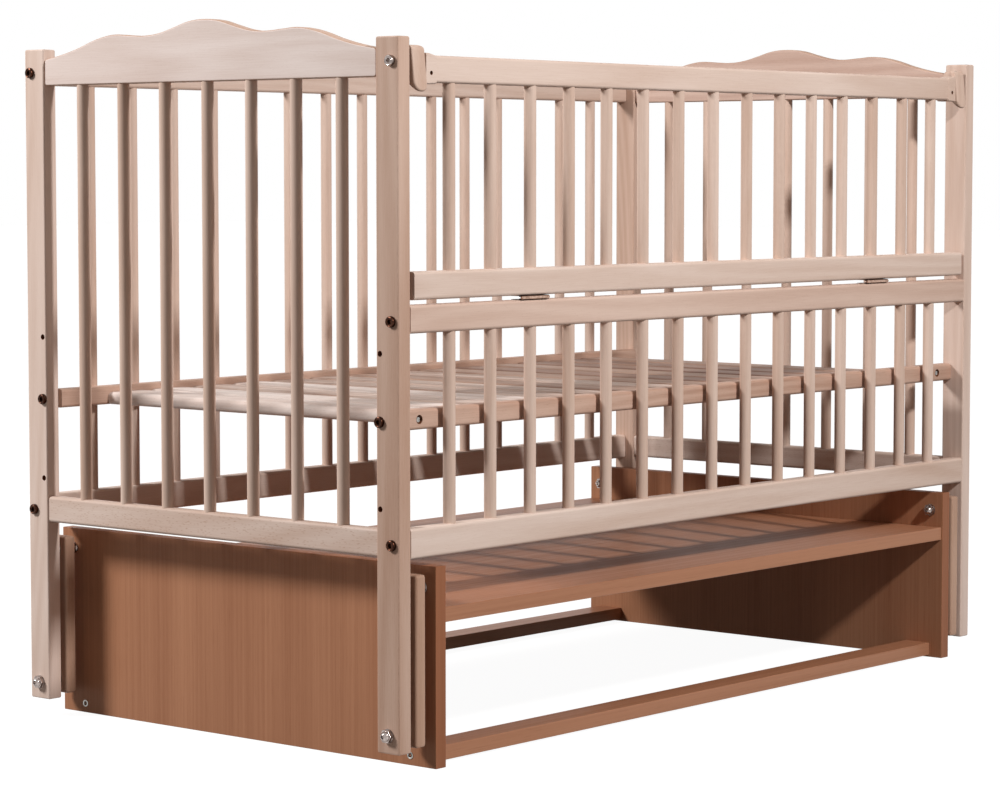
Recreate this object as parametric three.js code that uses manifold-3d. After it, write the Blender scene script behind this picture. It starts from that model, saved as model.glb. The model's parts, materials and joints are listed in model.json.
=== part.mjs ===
// A cot on a cross-swing stand: slatted body with a folding front gate, hung on four short links.
import * as THREE from "three";
import { mergeVertices } from "three/addons/utils/BufferGeometryUtils.js";
import Module from "manifold-3d";

const wasm = await Module();
wasm.setup();

// Frame: X along the length, front at -Y, Z up, origin on the floor under the middle. Sizes in mm.

// Clearances
const GAP = 0.3; // between pieces that touch
const RUN = 0.4; // round a shaft, per side
const HINGE_RUN = 0.3; // round the hinge pin and beside each knuckle
const OVERRUN = 5; // cutters past the face they enter
const LAP = 1; // joined shapes reach into each other

// Cot body
const LENGTH = 1240; // over the posts' outer faces
const WIDTH = 638; // over the posts' front and back faces
const POST_LIFT = 24; // underside of the posts above the floor
const POST_T = 21; // along the length
const POST_W = 35; // along the width
const POST_H = 829;
const POST_ROUND = 3;

// Rails and round bars
const RAIL_T = 20;
const RAIL_ROUND = 4;
const RAIL_SET = 0.2; // rail faces behind the posts' faces
const BAR_D = 15;
const SOCKET_DEPTH = 10;
const LONG_BARS = 15;
const LONG_BAR_IN = 99.8; // first bar behind the posts' outer faces
const END_BARS = 7;
const END_BAR_IN = 97; // first bar behind the posts' long faces

// Heights above the underside of the posts
const LOW_RAIL_Z = 226;
const LOW_RAIL_H = 36;
const MID_RAIL_Z = 488;
const MID_RAIL_H = 33;
const HINGE_SLOT = 5.4; // between the fixed lower section and the gate
const GATE_LOW_H = 33;
const GATE_TOP_H = 31.5;
const GATE_TOP_DROP = 20.5; // below the tops of the posts
const GATE_TOP_Z = POST_H - GATE_TOP_DROP - GATE_TOP_H;
const BACK_TOP_H = 31;
const BACK_TOP_DROP = 14; // below the tops of the posts
const BACK_TOP_Z = POST_H - BACK_TOP_DROP - BACK_TOP_H;

// End frames
const END_T = 17;
const END_SET = 2; // end frame behind the posts' outer faces
const END_RAIL_Z = 228.5;
const END_RAIL_H = 33;
const CREST_END = 33; // height of the crest board at the posts
const CREST_DROP = 13; // its ends below the tops of the posts
const CREST_Z = POST_H - CREST_DROP - CREST_END;
const CREST_WAVES = [ // share of the half width, height above the crest's ends
  [0, 42], [0.09, 40], [0.18, 33.5], [0.27, 27.4], [0.36, 25], [0.46, 26.4],
  [0.55, 27.8], [0.62, 25.6], [0.69, 21], [0.78, 13], [0.88, 6], [1, 0],
];

// Gate, its shouldered top rail and its latch flags
const GATE_SIDE = 7; // gate's lower rail to each post
const LATCH_SPACE = 28; // gate's top rail to each post
const SHOULDER_L = 18;
const SHOULDER_UP = 2.5;
const SHOULDER_DOWN = 1.5;
const FLAG_T = 24;
const FLAG_W = 22;
const FLAG_UP = 19; // above its pivot
const FLAG_DOWN = 34; // below its pivot
const FLAG_ROUND = 9;
const FLAG_RELIEF = 3; // thinner part that clears the gate's pin
const FLAG_PIVOT_IN = 11; // behind the front faces
const FLAG_PIVOT_DROP = 28; // below the tops of the posts
const FLAG_PIVOT_Z = POST_H - FLAG_PIVOT_DROP;
const FLAG_BOLT_R = 3;
const FLAG_BOLT_IN = 12;
const FLAG_HEAD_R = 6.5;
const FLAG_HEAD_H = 5; // stands out from the post
const PIN_R = 3;
const PIN_DROP = 16; // below the flag's pivot
const PIN_IN = 16; // length in the gate's rail
const PIN_RUN = 2; // pin to the step under it
const PIN_END_RUN = 0.8; // pin's end to the flag

// Gate hinges
const HINGE_IN = 247; // hinge's middle behind the posts' outer faces
const HINGE_L = 56;
const HINGE_KNUCKLE = 24; // middle knuckle
const HINGE_R = 2.4;
const HINGE_PIN_R = 1.1;
const HINGE_LEAF = 1.3;
const HINGE_DEPTH = 16;
const HINGE_OUT = 0.5; // axis in front of the rails' faces

// Mattress base
const BASE_Z = 374;
const BASE_BAR_T = 20;
const BASE_BAR_H = 24;
const BASE_BAR_IN = 20.5; // behind the posts' front faces
const SLATS = 14;
const SLAT_W = 65;
const SLAT_H = 16;
const SLAT_IN = 132.5; // first slat's middle behind the posts' outer faces
const SLAT_ROUND = 4;
const NUT_HOLE_R = 4.2;
const NUT_HOLE_IN = 37.5;

// Holes through the posts
const RAIL_BOLT_R = 3.5;
const RAIL_BOLT_IN = 11; // behind the long faces
const LEVEL_R = 3;
const LEVEL_IN = 29; // mattress level holes behind the long faces
const LEVELS = [285, 465];

// Swing links and their bolts
const LINK_T = 17;
const LINK_W = 35;
const LINK_END = 17.5; // beyond each pivot
const LINK_ROUND = 4;
const LINK_OUT = 9; // post to link
const PANEL_OUT = 13; // link to panel
const PIVOT_IN = 17.5; // behind the posts' long faces
const PIVOT_LOW = 21.5; // above the underside of the posts
const PIVOT_SPAN = 168;
const BOLT_R = 4;
const COLLAR_R = 8;
const HEAD_R = 8;
const HEAD_H = 4.5;
const NUT_R = 6.5;
const NUT_H = 10;

// Stand
const PANEL_T = 18;
const PANEL_H = 239;
const PANEL_OVER = 3.5; // beyond the cot's width, front and back
const BOARD_T = 18;
const SHELF_Z = 171.5; // underside above the floor
const SHELF_SET = 2; // behind the panels' edges
const BOARD_W = 40;
const BOARD_SET = 20.5;
const STRETCHER_LIFT = 3; // underside above the floor

const BEECH = { color: 0xd3b9a9, roughness: 0.5, metalness: 0 };
const BEECH_DARK = { color: 0xc2a390, roughness: 0.52, metalness: 0 };
const LAMINATE = { color: 0x99684b, roughness: 0.45, metalness: 0 };
const CHROME = { color: 0xd0d2d4, roughness: 0.2, metalness: 1 };
const STEEL = { color: 0x9b9792, roughness: 0.35, metalness: 1 };

const HALF_L = LENGTH / 2;
const HALF_W = WIDTH / 2;
const LEFT = -1;
const RIGHT = 1;
const FRONT = -1;
const BACK = 1;
const postZ = (z) => POST_LIFT + z;

// A point d inside the outer face of an end or of a long side
const inX = (end, d) => end * (HALF_L - d);
const inY = (side, d) => side * (HALF_W - d);

// Even places from -reach to reach
const spread = (count, reach) =>
  Array.from({ length: count }, (_, i) => reach * (2 * i / (count - 1) - 1));

function box(x0, x1, y0, y1, z0, z1) {
  const lo = [Math.min(x0, x1), Math.min(y0, y1), Math.min(z0, z1)];
  const hi = [Math.max(x0, x1), Math.max(y0, y1), Math.max(z0, z1)];
  const g = new THREE.BoxGeometry(hi[0] - lo[0], hi[1] - lo[1], hi[2] - lo[2]);
  return g.translate((lo[0] + hi[0]) / 2, (lo[1] + hi[1]) / 2, (lo[2] + hi[2]) / 2);
}

function roundRect(u0, u1, v0, v1, radius) {
  const r = Math.min(radius, (u1 - u0) / 2 - 0.01, (v1 - v0) / 2 - 0.01);
  const s = new THREE.Shape();
  s.moveTo(u0 + r, v0);
  s.lineTo(u1 - r, v0);
  s.absarc(u1 - r, v0 + r, r, -Math.PI / 2, 0, false);
  s.lineTo(u1, v1 - r);
  s.absarc(u1 - r, v1 - r, r, 0, Math.PI / 2, false);
  s.lineTo(u0 + r, v1);
  s.absarc(u0 + r, v1 - r, r, Math.PI / 2, Math.PI, false);
  s.lineTo(u0, v0 + r);
  s.absarc(u0 + r, v0 + r, r, Math.PI, Math.PI * 1.5, false);
  return s;
}

// Extrusions of a shape along each axis: the shape's u, v are Y, Z or X, Z or X, Y
function extrude(shape, depth, curveSegments) {
  return new THREE.ExtrudeGeometry(shape, { depth, bevelEnabled: false, steps: 1, curveSegments });
}
function alongX(shape, x0, x1, seg = 2) {
  const g = extrude(shape, Math.abs(x1 - x0), seg);
  g.applyMatrix4(new THREE.Matrix4().set(0, 0, 1, 0, 1, 0, 0, 0, 0, 1, 0, 0, 0, 0, 0, 1));
  return g.translate(Math.min(x0, x1), 0, 0);
}
function alongY(shape, y0, y1, seg = 2) {
  const g = extrude(shape, Math.abs(y1 - y0), seg);
  g.rotateX(Math.PI / 2);
  return g.translate(0, Math.max(y0, y1), 0);
}
function alongZ(shape, z0, z1, seg = 2) {
  return extrude(shape, z1 - z0, seg).translate(0, 0, z0);
}

function rod(axis, radius, a, from, to, sides = 10) {
  const g = new THREE.CylinderGeometry(radius, radius, Math.abs(to - from), sides);
  const mid = (from + to) / 2;
  if (axis === "x") return g.rotateZ(-Math.PI / 2).translate(mid, a[0], a[1]);
  if (axis === "y") return g.translate(a[0], mid, a[1]);
  return g.rotateX(Math.PI / 2).translate(a[0], a[1], mid);
}

// Solids for cutting and joining
function solid(geometry) {
  const g = geometry.clone();
  g.deleteAttribute("normal");
  g.deleteAttribute("uv");
  const m = mergeVertices(g, 1e-4);
  return new wasm.Manifold(new wasm.Mesh({
    numProp: 3,
    vertProperties: new Float32Array(m.attributes.position.array),
    triVerts: new Uint32Array(m.index.array),
  }));
}
function surface(body) {
  const mesh = body.getMesh();
  const g = new THREE.BufferGeometry();
  g.setAttribute("position", new THREE.BufferAttribute(new Float32Array(mesh.vertProperties), 3));
  g.setIndex(new THREE.BufferAttribute(new Uint32Array(mesh.triVerts), 1));
  g.computeVertexNormals();
  return g;
}
function shape(base, { add = [], cut = [] }) {
  let body = solid(base);
  for (const g of add) body = body.add(solid(g));
  for (const g of cut) body = body.subtract(solid(g));
  return surface(body);
}

const cot = new THREE.Group();
const stand = new THREE.Group();
const object = new THREE.Group();
object.add(stand, cot);

function piece(group, name, geometry, look) {
  const mesh = new THREE.Mesh(geometry, new THREE.MeshStandardMaterial(look));
  mesh.name = name;
  group.add(mesh);
}

// Posts
const ends = [[LEFT, "left"], [RIGHT, "right"]];
const sides = [[FRONT, "front"], [BACK, "back"]];
const corners = sides.flatMap(([side, s]) => ends.map(([end, e]) => [side, end, `${s}_${e}`]));
const pivotLowZ = postZ(PIVOT_LOW);
const pivotHighZ = pivotLowZ + PIVOT_SPAN;
const lowRailMid = LOW_RAIL_Z + LOW_RAIL_H / 2;
const midRailMid = MID_RAIL_Z + MID_RAIL_H / 2;
const backTopMid = BACK_TOP_Z + BACK_TOP_H / 2;
const baseMid = BASE_Z + BASE_BAR_H / 2;

for (const [side, end, name] of corners) {
  const x = [inX(end, 0), inX(end, POST_T)].sort((a, b) => a - b);
  const y = [inY(side, 0), inY(side, POST_W)].sort((a, b) => a - b);
  const body = alongZ(roundRect(x[0], x[1], y[0], y[1], POST_ROUND), postZ(0), postZ(POST_H));
  const through = (r, yIn, z) =>
    rod("x", r, [inY(side, yIn), postZ(z)], inX(end, -OVERRUN), inX(end, POST_T + OVERRUN), 8);
  const cut = [
    through(BOLT_R + RUN, PIVOT_IN, PIVOT_LOW),
    through(RAIL_BOLT_R, RAIL_BOLT_IN, lowRailMid),
    ...[...LEVELS, baseMid].map((z) => through(LEVEL_R, LEVEL_IN, z)),
  ];
  if (side === FRONT) {
    cut.push(through(RAIL_BOLT_R, RAIL_BOLT_IN, midRailMid));
    cut.push(through(FLAG_BOLT_R + RUN, FLAG_PIVOT_IN, FLAG_PIVOT_Z));
  } else {
    cut.push(through(RAIL_BOLT_R, RAIL_BOLT_IN, backTopMid));
  }
  piece(cot, `post_${name}`, shape(body, { cut }), BEECH);
}

// Long rails and bars: a lower rail carries its bars, whose tops sit in sockets of the rail above
const railEnd = HALF_L - POST_T - GAP;
const longBarX = spread(LONG_BARS, inX(RIGHT, LONG_BAR_IN));

function longSection(side) {
  const y0 = Math.min(inY(side, RAIL_SET), inY(side, RAIL_SET + RAIL_T));
  return roundRectAt(y0);
}
function roundRectAt(y0) {
  return (z0, h) => roundRect(y0, y0 + RAIL_T, postZ(z0), postZ(z0 + h), RAIL_ROUND);
}
const barY = (side) => inY(side, RAIL_SET + RAIL_T / 2);
function barsUp(xs, y, zFrom, zTo) {
  return xs.map((x) => rod("z", BAR_D / 2, [x, y], zFrom, zTo));
}
function sockets(xs, y, z, up) {
  return xs.map((x) => rod("z", BAR_D / 2 + GAP, [x, y], z - up * OVERRUN, z + up * SOCKET_DEPTH));
}
const barTop = (z) => postZ(z) + SOCKET_DEPTH - GAP;

const frontSection = longSection(FRONT);
const backSection = longSection(BACK);
piece(cot, "front_bars", shape(alongX(frontSection(LOW_RAIL_Z, LOW_RAIL_H), -railEnd, railEnd), {
  add: barsUp(longBarX, barY(FRONT), postZ(lowRailMid), barTop(MID_RAIL_Z)),
}), BEECH);
piece(cot, "front_mid_rail", shape(alongX(frontSection(MID_RAIL_Z, MID_RAIL_H), -railEnd, railEnd), {
  cut: sockets(longBarX, barY(FRONT), postZ(MID_RAIL_Z), 1),
}), BEECH);
piece(cot, "back_bars", shape(alongX(backSection(LOW_RAIL_Z, LOW_RAIL_H), -railEnd, railEnd), {
  add: barsUp(longBarX, barY(BACK), postZ(lowRailMid), barTop(BACK_TOP_Z)),
}), BEECH_DARK);
piece(cot, "back_top_rail", shape(alongX(backSection(BACK_TOP_Z, BACK_TOP_H), -railEnd, railEnd), {
  cut: sockets(longBarX, barY(BACK), postZ(BACK_TOP_Z), 1),
}), BEECH_DARK);

// End frames
const endRun = HALF_W - POST_W - GAP;
const endBarY = spread(END_BARS, inY(BACK, END_BAR_IN));
for (const [end, name] of ends) {
  const x = [inX(end, END_SET), inX(end, END_SET + END_T)].sort((a, b) => a - b);
  const xMid = (x[0] + x[1]) / 2;
  const rail = roundRect(x[0], x[1], postZ(END_RAIL_Z), postZ(END_RAIL_Z + END_RAIL_H), RAIL_ROUND);
  piece(cot, `end_bars_${name}`, shape(alongY(rail, -endRun, endRun), {
    add: endBarY.map((y) =>
      rod("z", BAR_D / 2, [xMid, y], postZ(END_RAIL_Z + END_RAIL_H / 2), barTop(CREST_Z))),
  }), BEECH);

  const wave = CREST_WAVES.map(([u, h]) => new THREE.Vector2(u * endRun, postZ(CREST_Z + CREST_END + h)));
  const crestLine = [...wave.slice(1).reverse().map((p) => new THREE.Vector2(-p.x, p.y)), ...wave];
  const crest = new THREE.Shape();
  crest.moveTo(endRun, postZ(CREST_Z));
  crest.lineTo(endRun, postZ(CREST_Z + CREST_END));
  crest.splineThru(crestLine.reverse().slice(1));
  crest.lineTo(-endRun, postZ(CREST_Z));
  crest.closePath();
  piece(cot, `crest_${name}`, shape(alongX(crest, x[0], x[1], 2), {
    cut: endBarY.map((y) =>
      rod("z", BAR_D / 2 + GAP, [xMid, y], postZ(CREST_Z) - OVERRUN, postZ(CREST_Z) + SOCKET_DEPTH)),
  }), BEECH);
}

// Gate
const gateLowZ = MID_RAIL_Z + MID_RAIL_H + HINGE_SLOT;
const gateLowEnd = HALF_L - POST_T - GATE_SIDE;
const gateTopEnd = HALF_L - POST_T - LATCH_SPACE;
piece(cot, "gate_bars", shape(alongX(frontSection(gateLowZ, GATE_LOW_H), -gateLowEnd, gateLowEnd), {
  add: barsUp(longBarX, barY(FRONT), postZ(gateLowZ + GATE_LOW_H / 2), barTop(GATE_TOP_Z)),
}), BEECH);
const shoulder = roundRect(
  barY(FRONT) - RAIL_T / 2, barY(FRONT) + RAIL_T / 2,
  postZ(GATE_TOP_Z - SHOULDER_DOWN), postZ(GATE_TOP_Z + GATE_TOP_H + SHOULDER_UP), RAIL_ROUND / 2);
const pinAt = [inY(FRONT, FLAG_PIVOT_IN), postZ(FLAG_PIVOT_Z - PIN_DROP)];
piece(cot, "gate_top_rail", shape(alongX(frontSection(GATE_TOP_Z, GATE_TOP_H), -gateTopEnd, gateTopEnd), {
  add: ends.map(([end]) => alongX(shoulder, end * (gateTopEnd - SHOULDER_L), end * gateTopEnd)),
  cut: [
    ...sockets(longBarX, barY(FRONT), postZ(GATE_TOP_Z), 1),
    ...ends.map(([end]) => rod("x", PIN_R + GAP, pinAt,
      end * (gateTopEnd - PIN_IN - GAP), end * (gateTopEnd + OVERRUN))),
  ],
}), BEECH);

// Latch flags hang on a bolt through each front post; a pin in the gate's rail sits in their relief
const flagPivot = [inY(FRONT, FLAG_PIVOT_IN), postZ(FLAG_PIVOT_Z)];
for (const [end, name] of ends) {
  const inner = gateTopEnd + GAP;
  const outer = inner + FLAG_T;
  const body = roundRect(
    flagPivot[0] - FLAG_W / 2, flagPivot[0] + FLAG_W / 2,
    flagPivot[1] - FLAG_DOWN, flagPivot[1] + FLAG_UP, FLAG_ROUND);
  const reliefZ = flagPivot[1] - PIN_DROP - PIN_R - PIN_RUN;
  piece(cot, `flag_${name}`, shape(alongX(body, end * inner, end * outer, 3), {
    cut: [
      box(end * (inner - OVERRUN), end * (inner + FLAG_RELIEF), flagPivot[0] - FLAG_W, flagPivot[0] + FLAG_W,
        reliefZ, flagPivot[1] + FLAG_UP + OVERRUN),
      rod("x", FLAG_BOLT_R + RUN, flagPivot, end * (outer - FLAG_BOLT_IN - RUN), end * (outer + OVERRUN)),
    ],
  }), BEECH);
  const headTop = inX(end, -GAP - FLAG_HEAD_H);
  const bolt = rod("x", FLAG_BOLT_R, flagPivot,
    end * (outer - FLAG_BOLT_IN), inX(end, -GAP - FLAG_HEAD_H / 2));
  const head = rod("x", FLAG_HEAD_R, flagPivot, inX(end, -GAP), headTop);
  piece(cot, `flag_bolt_${name}`, shape(head, { add: [bolt] }), CHROME);
  piece(cot, `gate_pin_${name}`,
    rod("x", PIN_R, pinAt, end * (gateTopEnd - PIN_IN), end * (inner + FLAG_RELIEF - PIN_END_RUN)), STEEL);
}

// Gate hinges: knuckles in the slot, one leaf on the mid rail, the other under the gate
const hingeY = inY(FRONT, RAIL_SET) - HINGE_OUT;
const hingeZ = postZ(gateLowZ - HINGE_SLOT / 2);
const leafY = hingeY + HINGE_R + RUN;
const leafBack = inY(FRONT, RAIL_SET) + HINGE_DEPTH;
for (const [end, name] of ends) {
  const x = inX(end, HINGE_IN);
  const knuckle = (from, to, r = HINGE_R) => rod("x", r, [hingeY, hingeZ], x + from, x + to);
  const half = HINGE_L / 2;
  const mid = HINGE_KNUCKLE / 2;
  const lowLeafZ = postZ(MID_RAIL_Z + MID_RAIL_H) + GAP;
  const highLeafZ = postZ(gateLowZ) - GAP;
  piece(cot, `hinge_fixed_${name}`, shape(knuckle(-half, -mid - HINGE_RUN), {
    add: [
      knuckle(mid + HINGE_RUN, half),
      knuckle(-mid - LAP, mid + LAP, HINGE_PIN_R),
      box(x - half, x + half, leafY, leafBack, lowLeafZ, lowLeafZ + HINGE_LEAF),
      box(x - half, x - mid - HINGE_RUN, hingeY, leafY + LAP, lowLeafZ, lowLeafZ + HINGE_LEAF),
      box(x + mid + HINGE_RUN, x + half, hingeY, leafY + LAP, lowLeafZ, lowLeafZ + HINGE_LEAF),
    ],
  }), STEEL);
  piece(cot, `hinge_gate_${name}`, shape(knuckle(-mid, mid), {
    add: [
      box(x - half, x + half, leafY, leafBack, highLeafZ - HINGE_LEAF, highLeafZ),
      box(x - mid, x + mid, hingeY, leafY + LAP, highLeafZ - HINGE_LEAF, highLeafZ),
    ],
    cut: [knuckle(-mid - OVERRUN, mid + OVERRUN, HINGE_PIN_R + HINGE_RUN)],
  }), STEEL);
}

// Mattress base
const baseEnd = HALF_L - POST_T - GAP;
for (const [side, name] of sides) {
  const y = [inY(side, BASE_BAR_IN), inY(side, BASE_BAR_IN + BASE_BAR_T)].sort((a, b) => a - b);
  const section = roundRect(y[0], y[1], postZ(BASE_Z), postZ(BASE_Z + BASE_BAR_H), RAIL_ROUND);
  piece(cot, `base_bar_${name}`, shape(alongX(section, -baseEnd, baseEnd), {
    cut: ends.map(([end]) => rod("y", NUT_HOLE_R, [end * (baseEnd - NUT_HOLE_IN), postZ(baseMid)],
      inY(side, BASE_BAR_IN - OVERRUN), inY(side, BASE_BAR_IN + BASE_BAR_T / 2))),
  }), BEECH);
}
const slatEnd = HALF_W - BASE_BAR_IN - BASE_BAR_T - GAP;
for (const [i, x] of spread(SLATS, inX(RIGHT, SLAT_IN)).entries()) {
  const section = roundRect(x - SLAT_W / 2, x + SLAT_W / 2,
    postZ(BASE_Z), postZ(BASE_Z + SLAT_H), SLAT_ROUND);
  piece(cot, `slat_${String(i + 1).padStart(2, "0")}`, alongY(section, -slatEnd, slatEnd), BEECH_DARK);
}

// Stand
const linkOuter = POST_T + LINK_OUT;
const linkInner = linkOuter + LINK_T;
const panelOuter = linkInner + PANEL_OUT;
const panelInner = panelOuter + PANEL_T;
const panelY = HALF_W + PANEL_OVER;
for (const [end, name] of ends) {
  const panel = box(inX(end, panelOuter), inX(end, panelInner), -panelY, panelY, 0, PANEL_H);
  piece(stand, `panel_${name}`, shape(panel, {
    cut: sides.map(([side]) => rod("x", BOLT_R + RUN, [inY(side, PIVOT_IN), pivotHighZ],
      inX(end, panelOuter - OVERRUN), inX(end, panelInner + OVERRUN))),
  }), LAMINATE);
}
const between = HALF_L - panelInner - GAP;
const shelfY = panelY - SHELF_SET;
piece(stand, "shelf", box(-between, between, -shelfY, shelfY, SHELF_Z, SHELF_Z + BOARD_T), LAMINATE);
for (const [side, name] of sides) {
  const edge = side * (panelY - BOARD_SET);
  piece(stand, `stretcher_${name}`,
    box(-between, between, edge, edge - side * BOARD_W, STRETCHER_LIFT, STRETCHER_LIFT + BOARD_T), LAMINATE);
}

// Links and pivot bolts
function boltAlongX(end, y, z, profile) {
  const points = profile.map(([r, d]) => new THREE.Vector2(r, d));
  const g = new THREE.LatheGeometry(points, 8);
  g.rotateZ(end > 0 ? Math.PI / 2 : -Math.PI / 2);
  return g.translate(end * HALF_L, y, z);
}
for (const [side, end, name] of corners) {
  const y = inY(side, PIVOT_IN);
  const body = roundRect(y - LINK_W / 2, y + LINK_W / 2,
    pivotLowZ - LINK_END, pivotHighZ + LINK_END, LINK_ROUND);
  const bore = (z) => rod("x", BOLT_R + RUN, [y, z],
    inX(end, linkOuter - OVERRUN), inX(end, linkInner + OVERRUN));
  piece(object, `link_${name}`, shape(alongX(body, inX(end, linkOuter), inX(end, linkInner)), {
    cut: [bore(pivotLowZ), bore(pivotHighZ)],
  }), BEECH_DARK);

  const collar = (from, to) => [[BOLT_R, from], [COLLAR_R, from], [COLLAR_R, to], [BOLT_R, to]];
  piece(cot, `pivot_low_${name}`, boltAlongX(end, y, pivotLowZ, [
    [0, -GAP - NUT_H], [NUT_R * 0.6, -GAP - NUT_H * 0.85], [NUT_R * 0.8, -GAP - NUT_H * 0.5],
    [NUT_R, -GAP - NUT_H * 0.45], [NUT_R, -GAP], [BOLT_R, -GAP],
    ...collar(POST_T + GAP, linkOuter - GAP),
    [BOLT_R, linkInner + GAP], [HEAD_R, linkInner + GAP],
    [HEAD_R * 0.85, linkInner + GAP + HEAD_H * 0.6], [0, linkInner + GAP + HEAD_H],
  ]), CHROME);
  piece(stand, `pivot_high_${name}`, boltAlongX(end, y, pivotHighZ, [
    [0, linkOuter - GAP - HEAD_H], [HEAD_R * 0.85, linkOuter - GAP - HEAD_H * 0.6],
    [HEAD_R, linkOuter - GAP], [BOLT_R, linkOuter - GAP],
    ...collar(linkInner + GAP, panelOuter - GAP),
    [BOLT_R, panelInner + GAP], [NUT_R, panelInner + GAP], [NUT_R, panelInner + GAP + NUT_H * 0.45],
    [NUT_R * 0.8, panelInner + GAP + NUT_H * 0.5], [NUT_R * 0.6, panelInner + GAP + NUT_H * 0.85],
    [0, panelInner + GAP + NUT_H],
  ]), CHROME);
}

export default object;
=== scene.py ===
# Crib with a folding front gate, hung on four links in a laminate stand. Sizes in metres.
import json
import math

import bmesh
import bpy
from mathutils import Matrix, Vector

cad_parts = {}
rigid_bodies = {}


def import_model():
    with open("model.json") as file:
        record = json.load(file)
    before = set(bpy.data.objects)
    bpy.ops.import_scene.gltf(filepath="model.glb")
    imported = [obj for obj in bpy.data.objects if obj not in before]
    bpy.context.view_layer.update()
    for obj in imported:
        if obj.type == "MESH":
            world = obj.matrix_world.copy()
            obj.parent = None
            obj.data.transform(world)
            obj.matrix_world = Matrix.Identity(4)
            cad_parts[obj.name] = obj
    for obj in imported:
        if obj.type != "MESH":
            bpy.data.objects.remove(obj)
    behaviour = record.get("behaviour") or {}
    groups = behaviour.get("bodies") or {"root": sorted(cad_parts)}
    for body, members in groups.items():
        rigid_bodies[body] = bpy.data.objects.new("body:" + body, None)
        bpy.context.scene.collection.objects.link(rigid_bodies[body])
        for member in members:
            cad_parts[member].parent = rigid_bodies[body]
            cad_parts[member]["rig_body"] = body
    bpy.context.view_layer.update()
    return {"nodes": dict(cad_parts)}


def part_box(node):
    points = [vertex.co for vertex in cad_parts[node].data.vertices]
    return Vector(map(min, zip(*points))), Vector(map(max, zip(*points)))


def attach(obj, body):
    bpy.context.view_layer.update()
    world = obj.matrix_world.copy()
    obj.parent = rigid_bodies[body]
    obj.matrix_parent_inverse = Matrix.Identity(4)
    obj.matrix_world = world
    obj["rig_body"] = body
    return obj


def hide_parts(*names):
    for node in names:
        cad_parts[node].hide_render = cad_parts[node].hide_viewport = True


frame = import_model()

LEFT = -1
RIGHT = 1
FRONT = -1
BACK = 1
ENDS = [(LEFT, "left"), (RIGHT, "right")]
SIDES = [(FRONT, "front"), (BACK, "back")]
CORNERS = [(side, end, f"{s}_{e}") for side, s in SIDES for end, e in ENDS]
HALF_LENGTH = 0.62
HALF_WIDTH = 0.319
LIFT = 0.024  # underside of the posts above the floor
SAME_PLACE = 1e-6
OVERRUN = 0.005  # drills start and end so far outside the wood
MARGIN = 0.01  # shaping tools reach so far past the wood
PLAY = 0.0003  # between a metal part and the wood that it seats on
TURN = {
    "x": Matrix.Rotation(math.radians(90), 4, "Y"),
    "y": Matrix.Rotation(math.radians(-90), 4, "X"),
    "z": Matrix.Identity(4),
}


# Shaping

def spot(axis, along, u, v):
    """A point from its place along an axis and its two other places, in X, Y, Z order."""
    return {"x": (along, u, v), "y": (u, along, v), "z": (u, v, along)}[axis]


def edges_at(shape, axis, along):
    """The edges that lie in one plane across an axis."""
    k = "xyz".index(axis)
    return [e for e in shape.edges if all(abs(p.co[k] - along) < SAME_PLACE for p in e.verts)]


def soften(shape, edges, width, steps=2):
    """Rounds the given edges."""
    bmesh.ops.bevel(
        shape, geom=edges, offset=width, offset_type="OFFSET", segments=steps,
        profile=0.5, affect="EDGES", material=-1)


def lofted(axis, stations, ease=0.0, steps=4):
    """A solid through rounded sections, each one (along, (u0, u1), (v0, v1), corner radius)."""
    shape = bmesh.new()
    for along, u, v, corner in stations:
        corners = [shape.verts.new(spot(axis, along, a, b))
                   for a, b in ((u[0], v[0]), (u[1], v[0]), (u[1], v[1]), (u[0], v[1]))]
        shape.faces.new(corners)
        bmesh.ops.bevel(
            shape, geom=corners, offset=corner, offset_type="OFFSET", segments=steps,
            profile=0.5, affect="VERTICES", material=-1)
    places = [station[0] for station in stations]
    for along in places[1:-1]:
        inner = {f for e in edges_at(shape, axis, along) for f in e.link_faces}
        bmesh.ops.delete(shape, geom=list(inner), context="FACES_ONLY")
    for near, far in zip(places, places[1:]):
        rings = edges_at(shape, axis, near) + edges_at(shape, axis, far)
        bmesh.ops.bridge_loops(shape, edges=rings)
    bmesh.ops.recalc_face_normals(shape, faces=shape.faces)
    if ease:
        soften(shape, edges_at(shape, axis, places[0]) + edges_at(shape, axis, places[-1]), ease)
    return shape


def board(axis, low, high, corner, ease, steps=4):
    """A straight board that fills a box, with rounded long edges and eased ends."""
    k = "xyz".index(axis)
    i, j = [n for n in range(3) if n != k]
    u = (low[i], high[i])
    v = (low[j], high[j])
    return lofted(axis, [(low[k], u, v, corner), (high[k], u, v, corner)], ease, steps)


def rod(axis, centre, radius, start, end, segments=32):
    """A round bar along an axis, closed at both ends."""
    shape = bmesh.new()
    middle = Matrix.Translation(spot(axis, (start + end) / 2, *centre))
    bmesh.ops.create_cone(
        shape, cap_ends=True, segments=segments, radius1=radius, radius2=radius,
        depth=abs(end - start), matrix=middle @ TURN[axis])
    return shape


def turned(profile, steps=32):
    """A turned part along +X from its outline of (distance along X, radius)."""
    shape = bmesh.new()
    line = [shape.verts.new((along, 0, radius)) for along, radius in profile]
    edges = [shape.edges.new(pair) for pair in zip(line, line[1:])]
    bmesh.ops.spin(
        shape, geom=line + edges, axis=(1, 0, 0), cent=(0, 0, 0),
        angle=math.radians(360), steps=steps, use_merge=True)
    bmesh.ops.remove_doubles(shape, verts=shape.verts, dist=SAME_PLACE)
    bmesh.ops.recalc_face_normals(shape, faces=shape.faces)
    return shape


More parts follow.
